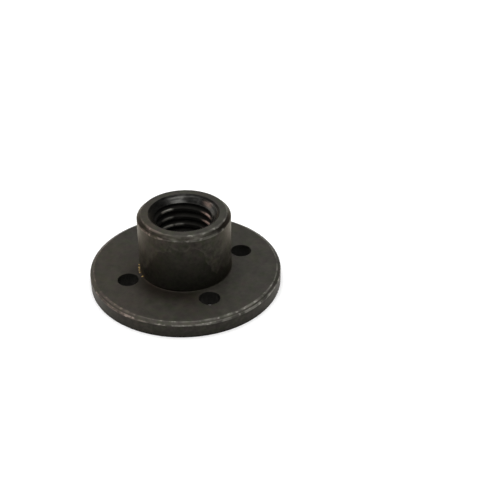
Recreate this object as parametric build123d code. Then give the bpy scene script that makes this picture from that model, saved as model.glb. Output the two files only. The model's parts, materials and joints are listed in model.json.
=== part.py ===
# Lock nut, turned from one bar of steel.
# A round hub stands on a wider round flange. A right-hand thread runs through both, and four
# spanner holes go through the flange beside the hub.
# The origin is the centre of the flange's bottom face. +Z runs along the thread to the nose of
# the hub. Sizes are in millimetres and angles in degrees.
import os
from math import ceil, radians, tan

from build123d import *
from build123d.topology import SkipClean

# Flange and hub
FLANGE_DIAMETER = 47.0
FLANGE_THICKNESS = 3.95
HUB_DIAMETER = 22.6
HUB_LENGTH = 15.35
RIM_CHAMFER_WIDTH = 0.9
RIM_CHAMFER_ANGLE = 30.0
NOSE_CHAMFER = 0.95
FOOT_FILLET = 0.35
EDGE_BREAK = 0.15

# Thread of 5/8 inch with 11 turns to the inch, countersunk at both ends
MAJOR_DIAMETER = 15.875
THREAD_DEPTH = 1.14
PITCH = 2.309
FLANK_ANGLE = 30.0
CREST_HEIGHT_AT_X = 1.33
MOUTH_LIP = 0.5

# Spanner holes
HOLE_COUNT = 4
HOLE_DIAMETER = 5.1
HOLE_TO_HUB = 1.15
FIRST_HOLE_ANGLE = 25.2

# How far a cutting tool runs past the face that it leaves
OVERRUN = 1.0

# The bore and the groove are cut in this many patches to the turn
PATCHES = 4

flange_radius = FLANGE_DIAMETER / 2
hub_radius = HUB_DIAMETER / 2
total_height = FLANGE_THICKNESS + HUB_LENGTH
major_radius = MAJOR_DIAMETER / 2
minor_radius = major_radius - THREAD_DEPTH
mouth_radius = major_radius + MOUTH_LIP
countersink_depth = MOUTH_LIP + THREAD_DEPTH
hole_radius = HOLE_DIAMETER / 2
hole_circle_radius = hub_radius + HOLE_TO_HUB + hole_radius
patch_angle = 360 / PATCHES


def turned_blank():
    """Hub and flange as one revolved section, still solid through the middle."""
    rim_chamfer_height = RIM_CHAMFER_WIDTH * tan(radians(RIM_CHAMFER_ANGLE))
    outline = Polyline(
        (0, 0),
        (flange_radius - EDGE_BREAK, 0),
        (flange_radius, EDGE_BREAK),
        (flange_radius, FLANGE_THICKNESS - rim_chamfer_height),
        (flange_radius - RIM_CHAMFER_WIDTH, FLANGE_THICKNESS),
        (hub_radius, FLANGE_THICKNESS),
        (hub_radius, total_height - NOSE_CHAMFER),
        (hub_radius - NOSE_CHAMFER, total_height),
        (0, total_height),
        close=True,
    )
    section = make_face(outline)
    foot = section.vertices().sort_by_distance((hub_radius, FLANGE_THICKNESS))[0]
    return revolve(Plane.XZ * fillet(foot, FOOT_FILLET), Axis.Z)


def spanner_holes():
    """The drilled holes of the flange, each with both its edges broken."""
    outline = Polyline(
        (0, -OVERRUN),
        (hole_radius + EDGE_BREAK + OVERRUN, -OVERRUN),
        (hole_radius, EDGE_BREAK),
        (hole_radius, FLANGE_THICKNESS - EDGE_BREAK),
        (hole_radius + EDGE_BREAK, FLANGE_THICKNESS),
        (0, FLANGE_THICKNESS),
        close=True,
    )
    drill = revolve(Plane.XZ * make_face(outline), Axis.Z)
    places = PolarLocations(hole_circle_radius, HOLE_COUNT, FIRST_HOLE_ANGLE)
    return [place * drill for place in places]


def bore_patches():
    """The drilled bore with a countersink at each end, as equal slices side by side.

    Their edges stay in the solid, so each crest land of the thread is made of short patches.
    """
    outline = Polyline(
        (0, -OVERRUN),
        (mouth_radius + OVERRUN, -OVERRUN),
        (minor_radius, countersink_depth),
        (minor_radius, total_height - countersink_depth),
        (mouth_radius + OVERRUN, total_height + OVERRUN),
        (0, total_height + OVERRUN),
        close=True,
    )
    patch = revolve(Plane.XZ * make_face(outline), Axis.Z, patch_angle)
    return [Rot(Z=patch_angle * step) * patch for step in range(PATCHES)]


def groove_section():
    """The V of the thread with its flat root, on the XZ plane and centred on its own height."""
    slope = tan(radians(FLANK_ANGLE))
    half_root = PITCH / 16
    half_opening = half_root + THREAD_DEPTH * slope
    # past the crest the V widens on, but not enough to meet its own next turn
    widening = (PITCH / 2 - half_opening) / 2
    inner_radius = minor_radius - widening / slope
    outline = Polyline(
        (inner_radius, -half_opening - widening),
        (major_radius, -half_root),
        (major_radius, half_root),
        (inner_radius, half_opening + widening),
        close=True,
    )
    return Plane.XZ * make_face(outline)


def thread_groove():
    """The right-hand groove as a chain of short screw sweeps, out past both ends."""
    link_rise = PITCH / PATCHES
    link = sweep(groove_section(), Helix(PITCH, link_rise, major_radius), is_frenet=True)
    start = CREST_HEIGHT_AT_X - 1.5 * PITCH
    links = ceil((total_height + PITCH - start) / link_rise)
    return [
        Pos(Z=start + link_rise * step) * Rot(Z=patch_angle * step) * link
        for step in range(links)
    ]


def lock_nut():
    """The whole nut as one solid."""
    blank = turned_blank() - spanner_holes()
    with SkipClean():
        return blank.cut(*bore_patches()).cut(*thread_groove())


if __name__ == "__main__":
    os.makedirs("parts", exist_ok=True)
    export_step(lock_nut(), "parts/lock_nut.step")
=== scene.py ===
"""Looks of the lock nut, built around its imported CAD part.

All sizes are in metres. The frame is the CAD's: the origin is the centre of the flange's bottom
face, and +Z runs along the thread to the nose of the hub.
"""

import json
import logging
import math
from dataclasses import dataclass
from enum import Enum
from typing import Any, Callable, Sequence

import bmesh
import bpy
from mathutils import Euler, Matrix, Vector


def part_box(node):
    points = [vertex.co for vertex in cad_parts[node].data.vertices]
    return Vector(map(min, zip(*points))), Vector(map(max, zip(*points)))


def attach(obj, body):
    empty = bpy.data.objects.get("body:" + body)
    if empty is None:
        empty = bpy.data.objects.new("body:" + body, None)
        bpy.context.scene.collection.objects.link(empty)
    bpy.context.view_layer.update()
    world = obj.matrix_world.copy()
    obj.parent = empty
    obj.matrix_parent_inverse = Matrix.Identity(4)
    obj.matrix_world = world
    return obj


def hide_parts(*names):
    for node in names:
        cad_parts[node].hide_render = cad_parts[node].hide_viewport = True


MM = 0.001
# How near to a place a point still counts as on it
SLACK = 0.01 * MM
# How far a cutter goes past the face that it cuts
CUTTER_OVERRUN = 0.05 * MM
LOG = logging.getLogger("lock_nut_looks")
Socket = bpy.types.NodeSocket
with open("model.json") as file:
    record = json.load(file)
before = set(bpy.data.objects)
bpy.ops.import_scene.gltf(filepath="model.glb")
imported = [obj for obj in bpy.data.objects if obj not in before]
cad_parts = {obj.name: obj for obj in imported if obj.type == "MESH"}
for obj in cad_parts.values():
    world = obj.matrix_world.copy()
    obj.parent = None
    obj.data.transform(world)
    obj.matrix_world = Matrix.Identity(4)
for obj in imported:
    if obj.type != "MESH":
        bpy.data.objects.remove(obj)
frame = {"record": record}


@dataclass(frozen=True)
class Circle:
    """One circle of a turned outline."""

    radius: float
    height: float

    @classmethod
    def through(cls, point: Vector) -> "Circle":
        """Gives the circle round the axis that a point lies on."""
        return cls(math.hypot(point.x, point.y), point.z)

    def away_from(self, other: "Circle") -> float:
        """Gives the distance between two circles."""
        return math.hypot(other.radius - self.radius, other.height - self.height)

    def holds(self, point: Vector) -> bool:
        """Says whether a point lies on the circle."""
        return Circle.through(point).away_from(self) < SLACK

    def towards(self, other: "Circle", share: float) -> "Circle":
        """Gives the circle at a share of the straight way to another one, or past it."""
        return Circle(
            self.radius + (other.radius - self.radius) * share,
            self.height + (other.height - self.height) * share,
        )


@dataclass(frozen=True)
class NutSizes:
    """The nut's sizes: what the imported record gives, and the rest as the CAD source names it."""

    flange_radius: float
    flange_thickness: float
    hub_radius: float
    height: float
    crest_radius: float
    hole_circle_radius: float
    hole_radius: float
    hole_count: int
    pitch: float = 2.309 * MM
    thread_depth: float = 1.14 * MM
    flank_angle: float = math.radians(30.0)
    crest_height_at_x: float = 1.33 * MM
    mouth_lip: float = 0.5 * MM
    rim_chamfer_width: float = 0.9 * MM
    rim_chamfer_angle: float = math.radians(30.0)
    nose_chamfer: float = 0.95 * MM
    first_hole_angle: float = math.radians(25.2)

    @classmethod
    def from_record(cls, record: dict[str, Any], node: str) -> "NutSizes":
        """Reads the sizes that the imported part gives.

        Args:
            record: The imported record, with its mounts.
            node: The CAD node whose box gives the outside sizes.

        Returns:
            The nut's sizes.
        """
        mounts = {mount["name"]: mount for mount in record["mounts"]}
        lowest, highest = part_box(node)
        holes = mounts["spanner_holes"]["dims"]
        return cls(
            flange_radius=(highest.x - lowest.x) / 2,
            flange_thickness=mounts["clamp_face"]["pos_m"][2],
            hub_radius=mounts["hub_outside"]["dims"]["r_mm"] * MM,
            height=highest.z,
            crest_radius=mounts["thread"]["dims"]["r_mm"] * MM,
            hole_circle_radius=holes["pcd_mm"] / 2 * MM,
            hole_radius=holes["hole_r_mm"] * MM,
            hole_count=holes["count"],
        )

    @property
    def root_radius(self) -> float:
        """Radius of the thread's root, at the bottom of the groove."""
        return self.crest_radius + self.thread_depth

    @property
    def mouth_radius(self) -> float:
        """Radius of the countersink where it meets the nose."""
        return self.root_radius + self.mouth_lip

    @property
    def half_root(self) -> float:
        """Half the width of the groove's flat root."""
        return self.pitch / 16

    @property
    def half_groove(self) -> float:
        """Half the width of the groove where it meets the crest."""
        return self.half_root + self.thread_depth * math.tan(self.flank_angle)

    @property
    def rim_chamfer_height(self) -> float:
        """Height that the chamfer takes from the flange's wall."""
        return self.rim_chamfer_width * math.tan(self.rim_chamfer_angle)

    @property
    def foot(self) -> Circle:
        """The inner corner, where the hub stands on the flange."""
        return Circle(self.hub_radius, self.flange_thickness)

    @property
    def corners(self) -> list[Circle]:
        """The corners of the outline, upwards from the flange's bottom edge."""
        return [
            Circle(self.flange_radius, 0),
            Circle(self.flange_radius, self.flange_thickness - self.rim_chamfer_height),
            Circle(self.flange_radius - self.rim_chamfer_width, self.flange_thickness),
            self.foot,
            Circle(self.hub_radius, self.height - self.nose_chamfer),
            Circle(self.hub_radius - self.nose_chamfer, self.height),
        ]


class Element(Enum):
    """What is picked on a mesh."""

    VERTEX = "VERT"
    EDGE = "EDGE"
    FACE = "FACE"


def clear_bench() -> None:
    """Leaves edit mode and deselects everything, so that a new primitive stands alone."""
    if bpy.context.mode != "OBJECT":
        bpy.ops.object.mode_set(mode="OBJECT")
    bpy.ops.object.select_all(action="DESELECT")


class Workpiece:
    """A mesh on the bench, shaped in edit mode on the elements that are picked by their place."""

    def __init__(self, item: bpy.types.Object, name: str) -> None:
        """Takes a new primitive to the bench under its own name."""
        self.item = item
        item.name = name
        item.data.name = name

    @classmethod
    def turned(cls, name: str, outline: Sequence[Circle], steps: int) -> "Workpiece":
        """Turns a closed solid from its outline, upwards from the first circle.

        Args:
            name: Name of the new piece.
            outline: The circles from the bottom to the top.
            steps: Number of faces round the axis.

        Returns:
            The turned piece, in edit mode with its top face picked.
        """
        first, second = outline[:2]
        clear_bench()
        bpy.ops.mesh.primitive_cone_add(
            vertices=steps,
            radius1=first.radius,
            radius2=second.radius,
            depth=second.height - first.height,
            location=(0, 0, (first.height + second.height) / 2),
        )
        piece = cls(bpy.context.object, name)
        piece.take_up()
        bpy.ops.object.transform_apply(location=True, rotation=True, scale=True)
        piece.pick(Element.FACE, lambda at: at.z > second.height - SLACK)
        for last, following in zip(outline[1:], outline[2:]):
            piece.draw_out(following.radius / last.radius, following.height - last.height)
        return piece

    def take_up(self) -> None:
        """Selects this piece alone and makes it the active one."""
        bpy.ops.object.select_all(action="DESELECT")
        bpy.context.view_layer.objects.active = self.item
        self.item.select_set(True)

    def open(self) -> None:
        """Enters edit mode on this piece alone."""
        if self.item.mode != "EDIT":
            self.take_up()
            bpy.ops.object.mode_set(mode="EDIT")

    def close(self) -> None:
        """Goes back to object mode."""
        if self.item.mode != "OBJECT":
            bpy.ops.object.mode_set(mode="OBJECT")

    def pick(self, kind: Element, wanted: Callable[[Vector], bool]) -> None:
        """Selects the elements whose middle is wanted, and nothing else.

        Args:
            kind: Vertices, edges or faces.
            wanted: Says from an element's middle whether it is picked.
        """
        self.open()
        bpy.ops.mesh.select_mode(type=kind.value)
        bpy.ops.mesh.select_all(action="DESELECT")
        shape = bmesh.from_edit_mesh(self.item.data)
        if kind is Element.VERTEX:
            found = [vertex for vertex in shape.verts if wanted(vertex.co)]
        elif kind is Element.EDGE:
            ends = ((edge, *edge.verts) for edge in shape.edges)
            found = [edge for edge, one, two in ends if wanted((one.co + two.co) / 2)]
        else:
            found = [face for face in shape.faces if wanted(face.calc_center_median())]
        for element in found:
            element.select_set(True)
        shape.select_flush_mode()
        bmesh.update_edit_mesh(self.item.data)

    def pick_all(self) -> None:
        """Selects the whole mesh."""
        self.pick(Element.VERTEX, lambda at: True)

    def move(self, step: Sequence[float]) -> None:
        """Moves the whole mesh."""
        self.pick_all()
        bpy.ops.transform.translate(value=step)

    def draw_out(self, growth: float, rise: float) -> None:
        """Extrudes the picked round face upwards and changes its size about the axis."""
        bpy.ops.mesh.extrude_region_move(TRANSFORM_OT_translate={"value": (0, 0, rise)})
        bpy.ops.transform.resize(value=(growth, growth, 1), center_override=(0, 0, 0))

    def round_corner(self, corner: Circle, size: float, facets: int) -> None:
        """Rounds the ring of edges that lies on one circle of the outline.

        Args:
            corner: The circle where two turned faces meet.
            size: How far the rounding reaches along both faces.
            facets: Number of faces across the rounding.
        """
        self.pick(Element.EDGE, corner.holds)
        bpy.ops.mesh.bevel(offset=size, offset_type="OFFSET", segments=facets, affect="EDGES")

    def apply(self, kind: str, **settings: Any) -> None:
        """Adds a modifier of a kind with its settings, and applies it."""
        self.close()
        bpy.context.view_layer.objects.active = self.item
        modifier = self.item.modifiers.new(kind.lower(), kind)
        for name, value in settings.items():
            setattr(modifier, name, value)
        bpy.ops.object.modifier_apply(modifier=modifier.name)

    def cut_with(self, tools: Sequence["Workpiece"]) -> None:
        """Takes the shapes of the tools out of this piece, and clears the tools away."""
        for tool in tools:
            self.apply("BOOLEAN", operation="DIFFERENCE", solver="MANIFOLD", object=tool.item)
            bpy.data.objects.remove(tool.item)


def rounded_lip(corner: Circle, wall_lean: float, size: float, facets: int = 3) -> list[Circle]:
    """Outlines a cutter so that it leaves a rounded lip where a bore meets a flat face.

    Args:
        corner: Where the bore's wall would meet the face without the rounding.
        wall_lean: Angle between the bore's wall and the axis.
        size: Radius of the rounding.
        facets: Number of faces across the rounding.

    Returns:
        The cutter's circles from the wall to just above the face.
    """
    middle_radius = corner.radius + size * (1 - math.sin(wall_lean)) / math.cos(wall_lean)
    turns = [wall_lean + (math.pi / 2 - wall_lean) * step / facets for step in range(facets + 1)]
    lip = [
        Circle(middle_radius - size * math.cos(turn), corner.height + size * (math.sin(turn) - 1))
        for turn in turns
    ]
    before, at_face = lip[-2:]
    past_face = 1 + CUTTER_OVERRUN / (at_face.height - before.height)
    return [*lip[:-1], before.towards(at_face, past_face)]


def upside_down(outline: Sequence[Circle], middle_height: float) -> list[Circle]:
    """Mirrors an outline about a height, and keeps it running upwards."""
    return [Circle(at.radius, 2 * middle_height - at.height) for at in reversed(outline)]


@dataclass(frozen=True)
class ThreadTap:
    """The threaded rod that leaves the nut's thread, with its edges eased as wear leaves them."""

    sizes: NutSizes
    steps: int = 192
    overrun: float = 1.0 * MM
    crest_wear: float = 0.07 * MM
    root_fillet: float = 0.12 * MM
    facets: int = 3

    def build(self) -> Workpiece:
        """Screws one turn's outline up the axis and closes both ends."""
        sizes = self.sizes
        tap = self._outline()
        below = math.ceil((sizes.crest_height_at_x + self.overrun) / sizes.pitch) + 1
        bottom = sizes.crest_height_at_x - below * sizes.pitch
        tap.move((0, 0, bottom))
        turns = math.ceil((sizes.height + self.overrun - bottom) / sizes.pitch) + 1
        tap.apply(
            "SCREW",
            axis="Z",
            angle=2 * math.pi,
            screw_offset=sizes.pitch,
            iterations=turns,
            steps=self.steps,
            render_steps=self.steps,
        )
        self._close_ends(tap)
        LOG.info("tap: %d turns, %d faces", turns, len(tap.item.data.polygons))
        return tap

    def _outline(self) -> Workpiece:
        """Draws the outline of one turn, from crest to crest, at the +X side."""
        sizes = self.sizes
        middle = sizes.pitch / 2
        corners = [
            Circle(sizes.crest_radius, 0),
            Circle(sizes.crest_radius, middle - sizes.half_groove),
            Circle(sizes.root_radius, middle - sizes.half_root),
            Circle(sizes.root_radius, middle + sizes.half_root),
            Circle(sizes.crest_radius, middle + sizes.half_groove),
            Circle(sizes.crest_radius, sizes.pitch),
        ]
        clear_bench()
        bpy.ops.mesh.primitive_plane_add(size=sizes.pitch, location=(0, 0, 0))
        tap = Workpiece(bpy.context.object, "thread_tap")
        tap.pick_all()
        bpy.ops.mesh.merge(type="CENTER")
        place = Vector((0, 0, 0))
        for number, corner in enumerate(corners):
            step = Vector((corner.radius, 0, corner.height)) - place
            if number:
                bpy.ops.mesh.extrude_region_move(TRANSFORM_OT_translate={"value": step})
            else:
                bpy.ops.transform.translate(value=step)
            place += step
        self._ease(tap, corners[1:5:3], self.crest_wear)
        self._ease(tap, corners[2:4], self.root_fillet)
        return tap

    def _ease(self, tap: Workpiece, corners: Sequence[Circle], size: float) -> None:
        """Rounds some corners of the outline."""
        tap.pick(Element.VERTEX, lambda at: any(corner.holds(at) for corner in corners))
        bpy.ops.mesh.bevel(offset=size, segments=self.facets, affect="VERTICES")

    def _close_ends(self, tap: Workpiece) -> None:
        """Merges the turns, cuts both ends off square and caps them."""
        tap.pick_all()
        bpy.ops.mesh.remove_doubles(threshold=0.001 * MM)
        ends = ((-self.overrun, -1), (self.sizes.height + self.overrun, 1))
        for height, outwards in ends:
            bpy.ops.mesh.select_all(action="SELECT")
            bpy.ops.mesh.bisect(
                plane_co=(0, 0, height),
                plane_no=(0, 0, outwards),
                use_fill=True,
                clear_outer=True,
                threshold=1e-8,
            )
        bpy.ops.mesh.select_all(action="SELECT")
        bpy.ops.mesh.normals_make_consistent(inside=False)
        tap.close()


@dataclass(frozen=True)
class Countersinks:
    """The two cutters that open the mouths of the bore."""

    sizes: NutSizes
    steps: int = 384
    lip: float = 0.16 * MM
    lean: float = math.radians(45.0)
    reach_below: float = 1.0 * MM

    def build(self) -> list[Workpiece]:
        """Turns the cutter for the nose, and the same one upside down for the flange."""
        sizes = self.sizes
        depth = sizes.mouth_radius - sizes.crest_radius
        below = self.reach_below
        start = Circle(sizes.crest_radius - below, sizes.height - depth - below)
        mouth = Circle(sizes.mouth_radius, sizes.height)
        outline = [start, *rounded_lip(mouth, self.lean, self.lip)]
        mirrored = upside_down(outline, sizes.height / 2)
        cutters = [
            Workpiece.turned("nose_countersink", outline, self.steps),
            Workpiece.turned("flange_countersink", mirrored, self.steps),
        ]
        clear_bench()
        return cutters


@dataclass(frozen=True)
class SpannerDrills:
    """The drills that leave the spanner holes, each with a lip at both ends."""

    sizes: NutSizes
    steps: int = 96
    lip: float = 0.09 * MM

    def build(self) -> list[Workpiece]:
        """Turns one drill on the axis for each hole, and moves it to its place."""
        sizes = self.sizes
        top = Circle(sizes.hole_radius, sizes.flange_thickness)
        upper = rounded_lip(top, 0.0, self.lip)
        outline = [*upside_down(upper, sizes.flange_thickness / 2), *upper]
        drills = []
        for number in range(sizes.hole_count):
            angle = sizes.first_hole_angle + 2 * math.pi * number / sizes.hole_count
            drill = Workpiece.turned(f"spanner_drill_{number + 1}", outline, self.steps)
            reach = sizes.hole_circle_radius
            drill.move((reach * math.cos(angle), reach * math.sin(angle), 0))
            drills.append(drill)
        clear_bench()
        return drills


@dataclass(frozen=True)
class LockNut:
    """The nut itself: a turned blank, nicked along its edges, tapped, countersunk and drilled."""

    sizes: NutSizes
    steps: int = 512
    shoulder: float = 0.35 * MM
    edge_wear: float = 0.15 * MM
    foot_round: float = 0.15 * MM
    facets: int = 4
    nick_depth: float = 0.035 * MM
    nick_length: float = 1.6 * MM
    smooth_up_to: float = math.radians(35.0)

    def build(self) -> bpy.types.Object:
        """Makes the finished mesh, whose object stays at the origin."""
        nut = self._blank()
        self._nick_edges(nut)
        nut.cut_with([ThreadTap(self.sizes).build()])
        nut.cut_with(Countersinks(self.sizes).build())
        nut.cut_with(SpannerDrills(self.sizes).build())
        self._smooth(nut)
        LOG.info("lock nut: %d faces", len(nut.item.data.polygons))
        return nut.item

    def _blank(self) -> Workpiece:
        """Turns the blank with a ring on each side of a corner, and rounds its corners."""
        corners = self.sizes.corners
        outline = [corners[0]]
        for corner, following in zip(corners, corners[1:]):
            share = self.shoulder / corner.away_from(following)
            near = corner.towards(following, share)
            far = following.towards(corner, share)
            outline += [near, far, following]
        blank = Workpiece.turned("lock_nut_body", outline, self.steps)
        nose = corners[-1].radius
        blank.draw_out(1 - self.shoulder / nose, 0)
        blank.draw_out((self.sizes.mouth_radius + self.shoulder) / (nose - self.shoulder), 0)
        blank.pick(Element.FACE, lambda at: at.length < SLACK)
        blank.draw_out(1 - self.shoulder / corners[0].radius, 0)
        for corner in self._edges():
            blank.round_corner(corner, self.edge_wear, self.facets)
        blank.round_corner(self.sizes.foot, self.foot_round, self.facets)
        return blank

    def _edges(self) -> list[Circle]:
        """The corners that stand out, which is all but the hub's foot."""
        return [corner for corner in self.sizes.corners if corner != self.sizes.foot]

    def _nick_edges(self, nut: Workpiece) -> None:
        """Dents the rounded outer edges inwards, unevenly, as knocks leave them."""
        nut.close()
        edges = self._edges()
        band = nut.item.vertex_groups.new(name="outer_edges")
        reach = self.edge_wear * 1.05
        for vertex in nut.item.data.vertices:
            circle = Circle.through(vertex.co)
            if min(circle.away_from(edge) for edge in edges) < reach:
                band.add([vertex.index], 1.0, "REPLACE")
        knocks = bpy.data.textures.new("knocks", "CLOUDS")
        knocks.noise_scale = self.nick_length
        knocks.noise_depth = 2
        knocks.contrast = 3.0
        knocks.intensity = 0.2
        knocks.use_clamp = True
        nut.apply(
            "DISPLACE",
            texture=knocks,
            texture_coords="LOCAL",
            vertex_group=band.name,
            direction="NORMAL",
            mid_level=0.0,
            strength=-self.nick_depth,
        )
        nut.item.vertex_groups.clear()

    def _smooth(self, nut: Workpiece) -> None:
        """Smooths the shading over the rounded edges and keeps the flat faces flat."""
        nut.pick_all()
        bpy.ops.mesh.remove_doubles(threshold=0.0005 * MM)
        bpy.ops.mesh.normals_make_consistent(inside=False)
        nut.close()
        nut.take_up()
        bpy.ops.object.shade_smooth_by_angle(angle=self.smooth_up_to)
        nut.apply("WEIGHTED_NORMAL", mode="FACE_AREA", keep_sharp=True, weight=50)


class Value:
    """A number that changes over a surface. Python's operators on it add Math nodes."""

    def __init__(self, board: "Board", socket: Socket) -> None:
        """Wraps an output socket of the board's node tree."""
        self.board = board
        self.socket = socket

    def __add__(self, other: "Number") -> "Value":
        """Adds."""
        return self.board.math("ADD", self, other)

    __radd__ = __add__

    def __sub__(self, other: "Number") -> "Value":
        """Takes the other away."""
        return self.board.math("SUBTRACT", self, other)

    def __rsub__(self, other: "Number") -> "Value":
        """Takes this away from the other."""
        return self.board.math("SUBTRACT", other, self)

    def __mul__(self, other: "Number") -> "Value":
        """Multiplies."""
        return self.board.math("MULTIPLY", self, other)

    __rmul__ = __mul__

    def __truediv__(self, other: "Number") -> "Value":
        """Divides by the other."""
        return self.board.math("DIVIDE", self, other)

    def __pow__(self, other: "Number") -> "Value":
        """Raises to a power."""
        return self.board.math("POWER", self, other)

    def __abs__(self) -> "Value":
        """Drops the sign."""
        return self.board.math("ABSOLUTE", self)

    def __mod__(self, other: "Number") -> "Value":
        """Wraps round at the other, also below zero."""
        return self.board.math("FLOORED_MODULO", self, other)

    def larger(self, other: "Number") -> "Value":
        """Gives the larger of the two."""
        return self.board.math("MAXIMUM", self, other)

    def smaller(self, other: "Number") -> "Value":
        """Gives the smaller of the two."""
        return self.board.math("MINIMUM", self, other)

    def rise(self, start: float, end: float) -> "Value":
        """Runs smoothly from 0 to 1 while this goes from start to end.

        Args:
            start: Where the result is 0.
            end: Where the result is 1. It may be below start.

        Returns:
            The smooth step.
        """
        settings = {"interpolation_type": "SMOOTHSTEP"}
        low, high, first, last = (start, end, 0.0, 1.0) if start < end else (end, start, 1.0, 0.0)
        inputs = {"Value": self, "From Min": low, "From Max": high, "To Min": first, "To Max": last}
        return Value(self.board, self.board.node("ShaderNodeMapRange", settings, inputs).outputs[0])

    def rise_from(self, origin: float, start: float, end: float) -> "Value":
        """Does the same as rise, with both ends given from an origin."""
        return self.rise(origin + start, origin + end)

    def clamped(self) -> "Value":
        """Keeps this between 0 and 1."""
        return self.larger(0.0).smaller(1.0)


Number = Value | float
Colour = tuple[float, float, float]
WHITE: Colour = (1.0, 1.0, 1.0)


class Board:
    """The node tree of a material or of the world, wired up from nothing."""

    def __init__(self, owner: bpy.types.Material | bpy.types.World) -> None:
        """Clears the owner's node tree."""
        owner.use_nodes = True
        self.tree = owner.node_tree
        self.tree.nodes.clear()

    def node(
        self, kind: str, settings: dict[str, Any] | None = None, inputs: dict | None = None
    ) -> bpy.types.Node:
        """Adds a node.

        Args:
            kind: The node's type.
            settings: Its properties, which are set first.
            inputs: Values or links of its sockets, by name or number.

        Returns:
            The new node.
        """
        made = self.tree.nodes.new(kind)
        for name, value in (settings or {}).items():
            setattr(made, name, value)
        for key, value in (inputs or {}).items():
            socket = made.inputs[key]
            if isinstance(value, Value):
                self.tree.links.new(value.socket, socket)
            elif isinstance(value, Socket):
                self.tree.links.new(value, socket)
            elif isinstance(value, tuple) and len(value) == 3 and socket.type == "RGBA":
                socket.default_value = (*value, 1.0)
            else:
                socket.default_value = value
        return made

    def math(self, operation: str, *numbers: Number) -> Value:
        """Adds a Math node on numbers."""
        inputs = dict(enumerate(numbers))
        return Value(self, self.node("ShaderNodeMath", {"operation": operation}, inputs).outputs[0])

    def blend(self, share: Number, first: Any, second: Any) -> Socket:
        """Blends two colours.

        Args:
            share: 0 for the first colour and 1 for the second.
            first: A colour, or the socket of one.
            second: A colour, or the socket of one.

        Returns:
            The blended colour's socket.
        """
        return self._mix("MIX", share, first, second)

    def tint(self, share: Number, first: Any, second: Any) -> Socket:
        """Multiplies a colour by another one, by a share from 0 to 1."""
        return self._mix("MULTIPLY", share, first, second)

    def _mix(self, way: str, share: Number, first: Any, second: Any) -> Socket:
        """Adds a Mix node on two colours."""
        settings = {"data_type": "RGBA", "blend_type": way, "clamp_factor": True}
        return self.node("ShaderNodeMix", settings, {0: share, 6: first, 7: second}).outputs[2]

    def scale(self, colour: Socket, factor: Value) -> Socket:
        """Multiplies a colour by a number."""
        inputs = {0: colour, "Scale": factor}
        return self.node("ShaderNodeVectorMath", {"operation": "SCALE"}, inputs).outputs[0]

    def noise(self, vector: Socket, grain: float, detail: float = 2.0) -> Value:
        """Adds a cloudy noise around 0.5.

        Args:
            vector: Where on the surface to read it.
            grain: Size of its clouds, in metres.
            detail: How many finer layers it has.

        Returns:
            The noise.
        """
        inputs = {"Vector": vector, "Scale": 1 / grain, "Detail": detail, "Roughness": 0.55}
        return Value(self, self.node("ShaderNodeTexNoise", None, inputs).outputs[0])

    def vector(self, x: Number, y: Number, z: Number) -> Socket:
        """Joins three numbers to a vector."""
        return self.node("ShaderNodeCombineXYZ", None, {0: x, 1: y, 2: z}).outputs[0]

    def split(self, vector: Socket) -> list[Value]:
        """Takes a vector apart into its three numbers."""
        axes = self.node("ShaderNodeSeparateXYZ", None, {0: vector}).outputs
        return [Value(self, axis) for axis in axes]


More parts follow.
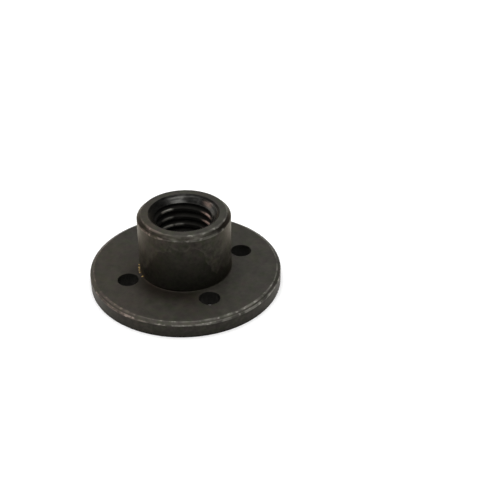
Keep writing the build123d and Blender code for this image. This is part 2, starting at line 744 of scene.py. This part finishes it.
class NutMap:
    """Where a point of the nut's surface lies, worked out from its Object coordinates."""

    def __init__(self, board: Board, sizes: NutSizes) -> None:
        """Adds the nodes for the radius, the height and the azimuth."""
        self.board = board
        self.sizes = sizes
        self.place = board.node("ShaderNodeTexCoord").outputs["Object"]
        x, y, self.z = board.split(self.place)
        self.radius = (x * x + y * y) ** 0.5
        self.azimuth = board.math("ARCTAN2", y, x)

    def noise(self, grain: float, detail: float = 2.0) -> Value:
        """Adds a cloudy noise around 0.5, with clouds as large as the grain."""
        return self.board.noise(self.place, grain, detail)

    def streaks(self, stretch: float, grain: float) -> Value:
        """Adds a noise drawn out round the axis, where one radian counts as the stretch."""
        along = self.board.vector(self.azimuth * stretch, self.radius, self.z)
        return self.board.noise(along, grain)

    def near(self, edge: Circle) -> Value:
        """Gives the distance from an edge that runs round the nut."""
        return ((self.radius - edge.radius) ** 2.0 + (self.z - edge.height) ** 2.0) ** 0.5

    def above_crest(self) -> Value:
        """Gives the height above the middle of the nearest crest below, up to one pitch."""
        sizes = self.sizes
        climb = self.azimuth * (sizes.pitch / (2 * math.pi))
        return (self.z - climb - sizes.crest_height_at_x) % sizes.pitch

    def side(self, middle: float, half_width: float, fade: float) -> Value:
        """Picks out one side of the nut. All three angles are in degrees.

        Args:
            middle: Azimuth of the side's middle.
            half_width: Angle from there to where the side ends.
            fade: Angle over which it fades out.

        Returns:
            1 on that side and 0 elsewhere.
        """
        turn = (self.azimuth - (math.radians(middle) - math.pi)) % (2 * math.pi) - math.pi
        return abs(turn).rise_from(math.radians(half_width), math.radians(fade), 0.0)

    def above_flange(self) -> Value:
        """Picks out the flange's top and all that stands on it."""
        return self.z.rise_from(self.sizes.flange_thickness, -0.20 * MM, -0.05 * MM)

    def hub_side(self) -> Value:
        """Picks out the hub's outer wall."""
        sizes = self.sizes
        wall = self.radius.rise_from(sizes.hub_radius, -1.2 * MM, -0.9 * MM)
        wall = wall * self.radius.rise_from(sizes.hub_radius, 0.3 * MM, 0.1 * MM)
        below_nose = self.z.rise_from(sizes.height, -0.05 * MM, -0.20 * MM)
        return wall * self.above_flange() * below_nose

    def rim_wall(self) -> Value:
        """Picks out the flange's outer wall."""
        return self.radius.rise_from(self.sizes.flange_radius, -0.25 * MM, -0.05 * MM)

    def nose(self) -> Value:
        """Picks out the nose ring and its chamfer."""
        return self.z.rise_from(self.sizes.height, -1.1 * MM, -0.9 * MM)

    def nose_chamfer(self) -> Value:
        """Picks out the chamfer between the nose and the hub's side."""
        *_, foot, top = self.sizes.corners
        above_foot = self.z.rise_from(foot.height, -0.1 * MM, 0.1 * MM)
        return above_foot * self.z.rise_from(top.height, -0.05 * MM, -0.15 * MM)

    def rim_chamfer(self) -> Value:
        """Picks out the chamfer between the flange's top and its wall."""
        _, foot, top, *_ = self.sizes.corners
        outer = self.radius.rise_from(top.radius, -0.1 * MM, 0.1 * MM)
        return outer * self.z.rise_from(foot.height, -0.05 * MM, 0.05 * MM)

    def floor_edge(self) -> Value:
        """Picks out the lowest strip of the flange's wall, where shade is painted, fading up over
        the wall's lower half.
        """
        edge = self.z.rise(0.46 * MM, 0.30 * MM)
        lower_half = self.z.rise(self.sizes.flange_thickness / 2, 0.4 * MM)
        return self.rim_wall() * (edge * 0.7 + lower_half * 0.3)

    def foot_shade(self) -> Value:
        """Picks out the front left of the flange, beside the hub's foot, where shade is painted."""
        sizes = self.sizes
        beside = self.radius.rise_from(sizes.hub_radius, 6.2 * MM, 1.0 * MM)
        low = self.z.rise_from(sizes.flange_thickness, 0.5 * MM, 0.3 * MM)
        return beside * low * self.above_flange() * self.side(-122, 32, 38)

    def mouth(self) -> Value:
        """Picks out the countersinks: what lies on their cones, not in the groove behind them."""
        sizes = self.sizes
        middle = sizes.height / 2
        cone_radius = sizes.mouth_radius - middle + abs(self.z - middle)
        on_cone = abs(self.radius - cone_radius).rise(0.16 * MM, 0.08 * MM)
        return on_cone * self.radius.rise_from(sizes.crest_radius, -0.05 * MM, 0.15 * MM)

    def inside(self) -> Value:
        """Picks out everything inside the mouth, and the walls of the spanner holes."""
        sizes = self.sizes
        mouth = self.radius.rise_from(sizes.mouth_radius, 0.06 * MM, -0.06 * MM)
        below_top = self.z.rise_from(sizes.flange_thickness, -0.02 * MM, -0.12 * MM)
        above_bottom = self.z.rise(0.02 * MM, 0.12 * MM)
        beside_hub = self.radius.rise_from(sizes.hub_radius, 0.4 * MM, 0.6 * MM)
        inside_rim = self.radius.rise_from(sizes.flange_radius, -2.0 * MM, -3.0 * MM)
        return mouth.larger(below_top * above_bottom * beside_hub * inside_rim)


@dataclass(frozen=True)
class WornEdge:
    """An edge that runs round the nut and is rubbed bare, with how much and how far."""

    edge: Circle
    share: Number
    reach: float


@dataclass(frozen=True)
class OiledBlackOxide:
    """Turned steel with an oiled black oxide skin, worn to bare metal along its edges."""

    sizes: NutSizes
    face_skin: Colour = (0.0312, 0.0297, 0.0243)
    nose_skin: Colour = (0.0360, 0.0346, 0.0284)
    chamfer_skin: Colour = (0.0385, 0.0365, 0.0308)
    hub_skin: Colour = (0.0255, 0.0240, 0.0192)
    wall_skin: Colour = (0.0215, 0.0200, 0.0160)
    film_and_light_colour: Colour = (0.0500, 0.0462, 0.0375)
    mouth_skin: Colour = (0.066, 0.065, 0.061)
    thread_skin: Colour = (0.0120, 0.0118, 0.0105)
    brown_tint: Colour = (1.0, 0.82, 0.70)
    green_tint: Colour = (0.90, 1.0, 0.84)
    violet_tint: Colour = (1.0, 0.90, 1.0)
    shade_tint: Colour = (0.42, 0.375, 0.35)
    floor_edge_shade: Colour = (0.14, 0.125, 0.09)
    mouth_grime_and_shade: Colour = (0.12, 0.12, 0.12)
    bare_steel: Colour = (0.31, 0.30, 0.265)
    brown_steel: Colour = (0.36, 0.26, 0.22)
    pink_steel: Colour = (0.62, 0.44, 0.37)
    gold_fleck: Colour = (0.55, 0.38, 0.13)
    hub_polish: float = 0.95
    wall_polish: float = 0.35
    thread_polish: float = 0.5
    film_dulling: float = 0.22
    face_roughness: float = 0.42
    chamfer_roughness: float = 0.50
    wall_roughness: float = 0.50
    mouth_roughness: float = 0.18
    thread_roughness: float = 0.55
    bare_roughness: float = 0.34
    speckle_roughness: float = 0.10
    dirt_roughness: float = 0.25
    skin_gloss: float = 0.16
    sheen_tint: Colour = (1.0, 0.94, 0.84)

    def make(self) -> bpy.types.Material:
        """Builds the material, on Object coordinates."""
        material = bpy.data.materials.new("oiled_black_oxide")
        board = Board(material)
        nut = NutMap(board, self.sizes)
        speckle = nut.noise(0.35 * MM)
        film_and_light = self._film_and_light(nut)
        worn = self._wear_and_glints(nut, speckle)
        dirt_and_shade = self._mouth_dirt_and_shade(nut)
        polish = nut.hub_side() * self.hub_polish * (1 - film_and_light * self.film_dulling)
        polish = polish.larger(nut.rim_wall() * self.wall_polish)
        polish = polish.larger(nut.rim_chamfer() * self.wall_polish)
        polish = polish.larger(nut.inside() * self.thread_polish).larger(nut.mouth())
        inputs = {
            "Base Color": self._colour(nut, film_and_light, worn, dirt_and_shade, speckle),
            "Metallic": polish.larger(worn),
            "Roughness": self._roughness(nut, worn, dirt_and_shade, speckle),
            "Normal": self._relief(nut),
            "Specular IOR Level": self.skin_gloss,
            "Specular Tint": self.sheen_tint,
        }
        shader = board.node("ShaderNodeBsdfPrincipled", None, inputs)
        board.node("ShaderNodeOutputMaterial", None, {"Surface": shader.outputs[0]})
        return material

    def _colour(self, nut: NutMap, film_and_light: Value, worn: Value, dirt_and_shade: Value, speckle: Value) -> Socket:
        """Colours the skin, face by face, with some light and shade painted in, and the bare metal
        on top of it.

        Args:
            nut: Where the surface lies.
            film_and_light: Where the hub is lighter, partly dry film and partly painted light.
            worn: Where the skin is worn off, and where crest glints and a foot highlight are
                painted.
            dirt_and_shade: Where the countersinks are darker, partly painted shade.
            speckle: Fine noise.

        Returns:
            The colour's socket.
        """
        board = nut.board
        clouds = nut.noise(5.0 * MM)
        mottle = nut.noise(0.9 * MM, 3.0)
        blotch = nut.noise(2.4 * MM)
        left = nut.side(-160, 25, 45)
        skin = board.blend(nut.nose(), self.face_skin, self.nose_skin)
        skin = board.blend(nut.rim_chamfer(), skin, self.chamfer_skin)
        skin = board.blend(nut.hub_side(), skin, self.hub_skin)
        skin = board.blend(nut.rim_wall(), skin, self.wall_skin)
        # The hub's dry film, which also stands in for painted light on the hub's sides.
        skin = board.blend(film_and_light, skin, self.film_and_light_colour)
        lower_hub = nut.hub_side() * nut.z.rise(10.5 * MM, 5.5 * MM)
        # Brown tint at random, and at the left, where it is painted warm light.
        brown = clouds.rise(0.50, 0.75) * 0.30 + left * 0.35 + (mottle - 0.5) * 0.6
        skin = board.tint(brown.clamped() * (1 - lower_hub * 0.8), skin, self.brown_tint)
        hue = nut.noise(1.6 * MM, 3.0)
        skin = board.tint(hue.rise(0.50, 0.66), skin, self.green_tint)
        skin = board.tint(hue.rise(0.49, 0.33), skin, self.violet_tint)
        # Painted shade beside the hub's foot, at the front left of the flange.
        skin = board.tint(nut.foot_shade(), skin, self.shade_tint)
        # Painted shade: the nose's chamfer is darkened at both sides.
        turned_away = nut.side(-20, 13, 15).larger(nut.side(-160, 10, 16))
        skin = board.tint(nut.nose_chamfer() * turned_away, skin, self.shade_tint)
        # Painted light: the nose's chamfer is lightened at its front right.
        painted_light_spot = nut.side(-63, 9, 9) * 0.5
        skin = board.blend(nut.nose_chamfer() * painted_light_spot, skin, self.film_and_light_colour)
        # Painted shade: the flange's wall darkens towards the floor.
        skin = board.tint(nut.floor_edge(), skin, self.floor_edge_shade)
        skin = board.blend(nut.inside(), skin, self.thread_skin)
        skin = board.blend(nut.mouth(), skin, self.mouth_skin)
        # Countersink darkening, partly painted shade.
        skin = board.tint(dirt_and_shade, skin, self.mouth_grime_and_shade)
        shade = 0.10 + mottle * 0.70 + blotch * 0.80 + speckle * 0.30
        # Painted light: the lower hub is lightened, more so at the left.
        shade = shade * (1 + lower_hub * (0.38 + left * 0.30))
        shade = shade * (1 - nut.rim_wall() * mottle.rise(0.62, 0.40) * 0.25)
        # Painted light: the rim's chamfer is lightened at the left.
        shade = shade * (1 + nut.rim_chamfer() * left * 0.25)
        # Painted light: the film on the hub's right side is lightened further.
        right = nut.side(2, 9, 16)
        shade = shade * (1 + film_and_light * right * nut.z.rise(14.5 * MM, 11.5 * MM) * 0.7)
        skin = board.scale(skin, shade)
        # Painted warm light: bare metal is brown at the left and pink inside at the right.
        warm_reflection = nut.inside() * nut.side(40, 22, 12)
        metal = board.blend(left * 0.8, self.bare_steel, self.brown_steel)
        metal = board.blend(warm_reflection, metal, self.pink_steel)
        metal = board.blend(self._gold_flecks(nut), metal, self.gold_fleck)
        return board.blend(worn, skin, metal)

    def _film_and_light(self, nut: NutMap) -> Value:
        """Says where the hub is lighter, above a border that dips at both sides: partly a patchy
        dry film, partly painted light on the hub's sides.
        """
        highest, left_drop, right_drop, waver = 15.8 * MM, 8.1 * MM, 8.6 * MM, 5.0 * MM
        border = highest - nut.side(-170, 20, 45) * left_drop - nut.side(-24, 20, 28) * right_drop
        border = border + (nut.noise(2.6 * MM) - 0.5) * waver
        patches = nut.noise(1.1 * MM, 3.0)
        above = (nut.z - border) / MM
        thin_above = 1 - nut.z.rise(13.5 * MM, 17.0 * MM) * 0.4
        thick = border.rise(13.0 * MM, 9.0 * MM) * nut.z.rise(14.5 * MM, 12.0 * MM) * 0.28
        film_and_light = above.rise(-0.4, 0.4) * patches.rise(0.25, 0.65) * thin_above * (0.65 + thick)
        tide_mark = abs(above - 0.25).rise(0.60, 0.0) * patches.rise(0.36, 0.58) * 0.55
        return nut.hub_side() * film_and_light.larger(tide_mark)

    def _mouth_dirt_and_shade(self, nut: NutMap) -> Value:
        """Says where the countersink is darker: under its lip, in a ring, at the left and in
        streaks, and at the far side, where a dark reflection is painted.
        """
        mouth = self.sizes.mouth_radius
        streaks = nut.streaks(2.0 * MM, 0.45 * MM)
        under_lip = nut.radius.rise_from(mouth, -0.50 * MM, -0.30 * MM) * 0.85
        # Painted shade: a dark reflection on the far side of the countersink.
        drift = (nut.noise(1.8 * MM, 1.0) - 0.5) * 0.48
        turn = abs(nut.azimuth - math.radians(78) + drift)
        inner = nut.radius.rise_from(mouth, -0.3 * MM, -0.6 * MM)
        far = turn.rise(math.radians(30), math.radians(2)) * (0.35 + inner * 0.6)
        ring = abs(nut.radius - (mouth - 0.84 * MM)).rise(0.24 * MM, 0.04 * MM) * 0.5
        left = nut.side(175, 36, 22) * 0.8
        dirt_and_shade = under_lip.larger(far).larger(ring).larger(left) + (streaks - 0.5) * 0.8
        return nut.mouth() * dirt_and_shade.clamped()

    def _gold_flecks(self, nut: NutMap) -> Value:
        """Says where gold-brown flecks stick at the left of the hub's foot."""
        sizes = self.sizes
        spots = nut.noise(0.60 * MM, 0.0)
        low = nut.z.rise_from(sizes.flange_thickness, 0.5 * MM, 0.2 * MM)
        beside = nut.radius.rise_from(sizes.hub_radius, 0.50 * MM, 0.32 * MM)
        outside = nut.radius.rise_from(sizes.hub_radius, -0.5 * MM, -0.3 * MM)
        left = nut.side(-168, 14, 6)
        return low * nut.above_flange() * beside * outside * left * spots.rise(0.50, 0.58)

    def _wear_and_glints(self, nut: NutMap, speckle: Value) -> Value:
        """Says where the skin is bare: worn off on the edges and the nose's chamfer, partly worn
        and partly painted glints on the crests, and a faint painted highlight at the hub's foot.
        """
        _, rim_foot, rim_top, _, hub_top, nose = self.sizes.corners
        dashes = nut.noise(3.6 * MM).rise(0.42, 0.60)
        spots = nut.noise(1.3 * MM, 1.0).rise(0.54, 0.70)
        edges = [
            WornEdge(rim_foot, 0.85, 0.28 * MM),
            WornEdge(rim_top, 0.55 - nut.side(-128, 20, 18) * 0.30, 0.24 * MM),
            WornEdge(nose, 0.50, 0.30 * MM),
            WornEdge(hub_top, 0.42, 0.28 * MM),
        ]
        worn = self._crest_glints(nut).larger(self._gold_flecks(nut) * 0.8)
        rubbed = nut.side(-133, 9, 14).larger(nut.side(-52, 18, 14))
        spared = nut.side(-177, 18, 14) * 0.6
        for line in edges:
            off = nut.near(line.edge) + (speckle - 0.5) * (0.20 * MM) - rubbed * (0.16 * MM)
            bare = (0.10 + dashes * 0.35 + spots * 0.70) * line.share * (1 - spared)
            worn = worn.larger(off.rise(line.reach, 0.06 * MM) * bare)
        scuffs = nut.streaks(3.0 * MM, 0.8 * MM).rise(0.40, 0.80) * nut.nose_chamfer()
        scuffed = nut.side(-80, 20, 30).larger(nut.side(-130, 6, 14))
        worn = worn.larger(scuffs * scuffed * 0.16)
        # Painted highlight: a faint light line at the hub's foot, front left.
        foot = Circle(self.sizes.hub_radius + 0.12 * MM, self.sizes.flange_thickness)
        foot_highlight = nut.near(foot).rise(0.26 * MM, 0.10 * MM) * nut.side(-125, 40, 25)
        return worn.larger(foot_highlight * 0.05).smaller(1.0)

    def _crest_glints(self, nut: NutMap) -> Value:
        """Says where the crests' upper edges and a patch of the countersink are bare and bright:
        partly wear, partly painted glints, with a painted warm reflection on the countersink.
        """
        sizes = self.sizes
        above = nut.above_crest() - (sizes.pitch / 2 - sizes.half_groove)
        line = abs(above + 0.06 * MM).rise(0.28 * MM, 0.08 * MM)
        broad = abs(above + 0.09 * MM).rise(0.42 * MM, 0.14 * MM)
        patches = nut.noise(1.2 * MM)
        second_turn = nut.z.rise(12.2 * MM, 13.4 * MM)
        first_turn = nut.z.rise(14.8 * MM, 16.2 * MM)
        left = nut.side(131, 8, 10) * nut.z.rise(9.0 * MM, 11.0 * MM)
        left = left * (0.60 - second_turn * 0.20 + first_turn * 0.42)
        right = nut.side(38, 6, 18) * nut.z.rise(10.0 * MM, 13.5 * MM)
        brightest = nut.side(37, 3, 13)
        middle = nut.side(105, 5, 8)
        middle = middle * nut.z.rise(14.0 * MM, 12.0 * MM) * nut.z.rise(10.0 * MM, 11.0 * MM)
        wedge = (line * right * 0.45).larger(broad * brightest * right)
        marks = (broad * left * patches.rise(0.16, 0.52)).larger(wedge * patches.rise(0.20, 0.52))
        marks = marks.larger(broad * middle * (0.30 + patches.rise(0.30, 0.58) * 0.20))
        inside = nut.radius.rise_from(sizes.crest_radius, 0.5 * MM, 0.2 * MM)
        below_nose = nut.z.rise_from(sizes.height, -1.7 * MM, -2.3 * MM)
        # Painted warm reflection: a pink patch on the countersink's cone at the right.
        on_cone = nut.mouth() * nut.side(43, 3, 14) * 0.32
        cone_middle = sizes.mouth_radius - 0.9 * MM
        on_cone = on_cone * abs(nut.radius - cone_middle).rise(0.65 * MM, 0.15 * MM)
        return (marks * inside * below_nose).larger(on_cone)

    def _roughness(self, nut: NutMap, worn: Value, dirt_and_shade: Value, speckle: Value) -> Value:
        """Gives each face its own smoothness; the oiled mouth is the smoothest."""
        skin = self.face_roughness + (speckle - 0.5) * self.speckle_roughness
        skin = skin + nut.rim_wall() * (self.wall_roughness - self.face_roughness)
        skin = skin + nut.nose_chamfer() * (self.chamfer_roughness - self.face_roughness)
        inside = nut.inside()
        skin = skin * (1 - inside) + inside * self.thread_roughness
        skin = skin + nut.mouth() * (self.mouth_roughness - self.thread_roughness)
        skin = skin + dirt_and_shade * self.dirt_roughness
        return skin * (1 - worn) + worn * self.bare_roughness

    def _relief(self, nut: NutMap) -> Socket:
        """Gives the surface its turning marks, its grain and its slow waves."""
        board = nut.board
        rings = board.noise(board.vector(nut.radius, 0.0, nut.z), 0.12 * MM)
        grain = nut.noise(0.25 * MM, 3.0)
        waves = nut.noise(3.0 * MM, 1.0)
        height = rings * 0.4 + grain + waves * 5.0
        inputs = {"Strength": 0.5, "Distance": 0.006 * MM, "Height": height}
        return board.node("ShaderNodeBump", None, inputs).outputs[0]


@dataclass(frozen=True)
class PaleFloor:
    """The plain white floor, which keeps the nut's shadow."""

    shaded_radius: float
    half_width: float = 2.0
    fade: float = 2.0 * MM
    colour: Colour = (0.86, 0.86, 0.86)
    lift: float = 0.25

    def build(self) -> None:
        """Lays the floor under the nut."""
        clear_bench()
        bpy.ops.mesh.primitive_plane_add(size=2 * self.half_width, location=(0, 0, 0))
        floor = bpy.context.object
        floor.name = "floor"
        material = bpy.data.materials.new("pale_floor")
        board = Board(material)
        path = board.node("ShaderNodeLightPath").outputs
        rays = ("Is Camera Ray", "Is Glossy Ray", "Is Transmission Ray")
        camera, glossy, through = (Value(board, path[ray]) for ray in rays)
        seen = camera.larger(glossy).larger(through)
        x, y, _ = board.split(board.node("ShaderNodeTexCoord").outputs["Object"])
        outside = ((x * x + y * y) ** 0.5).rise_from(self.shaded_radius, -self.fade, 0.0)
        paint = board.node("ShaderNodeBsdfDiffuse", None, {"Color": self.colour})
        glow = board.node("ShaderNodeEmission", None, {"Color": WHITE, "Strength": self.lift})
        lifted = board.node("ShaderNodeAddShader", None, {0: paint.outputs[0], 1: glow.outputs[0]})
        inputs = {0: seen * outside, 1: paint.outputs[0], 2: lifted.outputs[0]}
        mixed = board.node("ShaderNodeMixShader", None, inputs)
        board.node("ShaderNodeOutputMaterial", None, {"Surface": mixed.outputs[0]})
        floor.data.materials.append(material)


@dataclass(frozen=True)
class SoftStudio:
    """Studio light: a long soft box, a low panel on the left, a dim room, a white horizon."""

    overhead: float = 2.45
    overhead_start: float = 0.45
    overhead_full: float = 0.95
    overhead_half_width: float = 0.52
    panel: float = 0.85
    panel_edge: float = -0.62
    panel_top: float = 0.56
    room: float = 0.34
    ceiling: float = 0.12
    ceiling_start: float = 0.35
    ceiling_full: float = 0.6
    back_wall: float = 0.08
    back_wall_start: float = 0.4
    back_wall_full: float = 0.8
    softness: float = 0.12
    horizon_top: float = 0.24

    def build(self) -> None:
        """Paints the light into the world, by direction."""
        world = bpy.data.worlds.new("studio")
        bpy.context.scene.world = world
        board = Board(world)
        right, back, up = board.split(board.node("ShaderNodeTexCoord").outputs["Generated"])
        soft = self.softness
        box = up.rise(self.overhead_start, self.overhead_full)
        box = box * abs(right).rise_from(self.overhead_half_width, soft, -soft)
        low = up.rise_from(self.panel_top, soft, -soft)
        left = right.rise_from(self.panel_edge, soft, -soft)
        above = up.rise(self.ceiling_start, self.ceiling_full)
        behind = back.rise(self.back_wall_start, self.back_wall_full) * low
        room = self.room + above * (self.ceiling - self.room)
        room = room + behind * (self.back_wall - self.room)
        strength = room + box * self.overhead + left * low * self.panel
        strength = strength.larger(up.rise(self.horizon_top, 0.0))
        backdrop = board.node("ShaderNodeBackground", None, {"Color": WHITE, "Strength": strength})
        board.node("ShaderNodeOutputWorld", None, {"Surface": backdrop.outputs[0]})


@dataclass(frozen=True)
class PhotoCamera:
    """The camera where the photograph was taken from."""

    place: tuple[float, float, float] = (15.860 * MM, -195.920 * MM, 142.269 * MM)
    look_down: float = math.radians(34.3323)
    roll: float = math.radians(0.3123)
    lens_mm: float = 69.760
    sensor_mm: float = 36.0

    def build(self) -> None:
        """Sets the camera up and makes it the scene's own."""
        data = bpy.data.cameras.new("photo_camera")
        data.lens = self.lens_mm
        data.sensor_width = self.sensor_mm
        data.clip_start = 0.01
        data.clip_end = 10.0
        camera = bpy.data.objects.new("photo_camera", data)
        tilt = Euler((math.pi / 2 - self.look_down, 0, 0)).to_matrix()
        spin = Euler((0, 0, self.roll)).to_matrix()
        camera.matrix_world = (tilt @ spin).to_4x4()
        camera.location = self.place
        bpy.context.scene.collection.objects.link(camera)
        bpy.context.scene.camera = camera


def main() -> None:
    """Builds the stage and the nut in order, and reports each piece."""
    logging.basicConfig(level=logging.INFO, format="%(name)s: %(message)s")
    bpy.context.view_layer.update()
    bpy.context.scene.view_settings.view_transform = "Standard"
    sizes = NutSizes.from_record(frame["record"], "lock_nut")
    PhotoCamera().build()
    SoftStudio().build()
    PaleFloor(sizes.flange_radius).build()
    nut = LockNut(sizes).build()
    nut.data.materials.clear()
    nut.data.materials.append(OiledBlackOxide(sizes).make())
    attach(nut, "root")
    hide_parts("lock_nut")


if __name__ == "__main__":
    main()
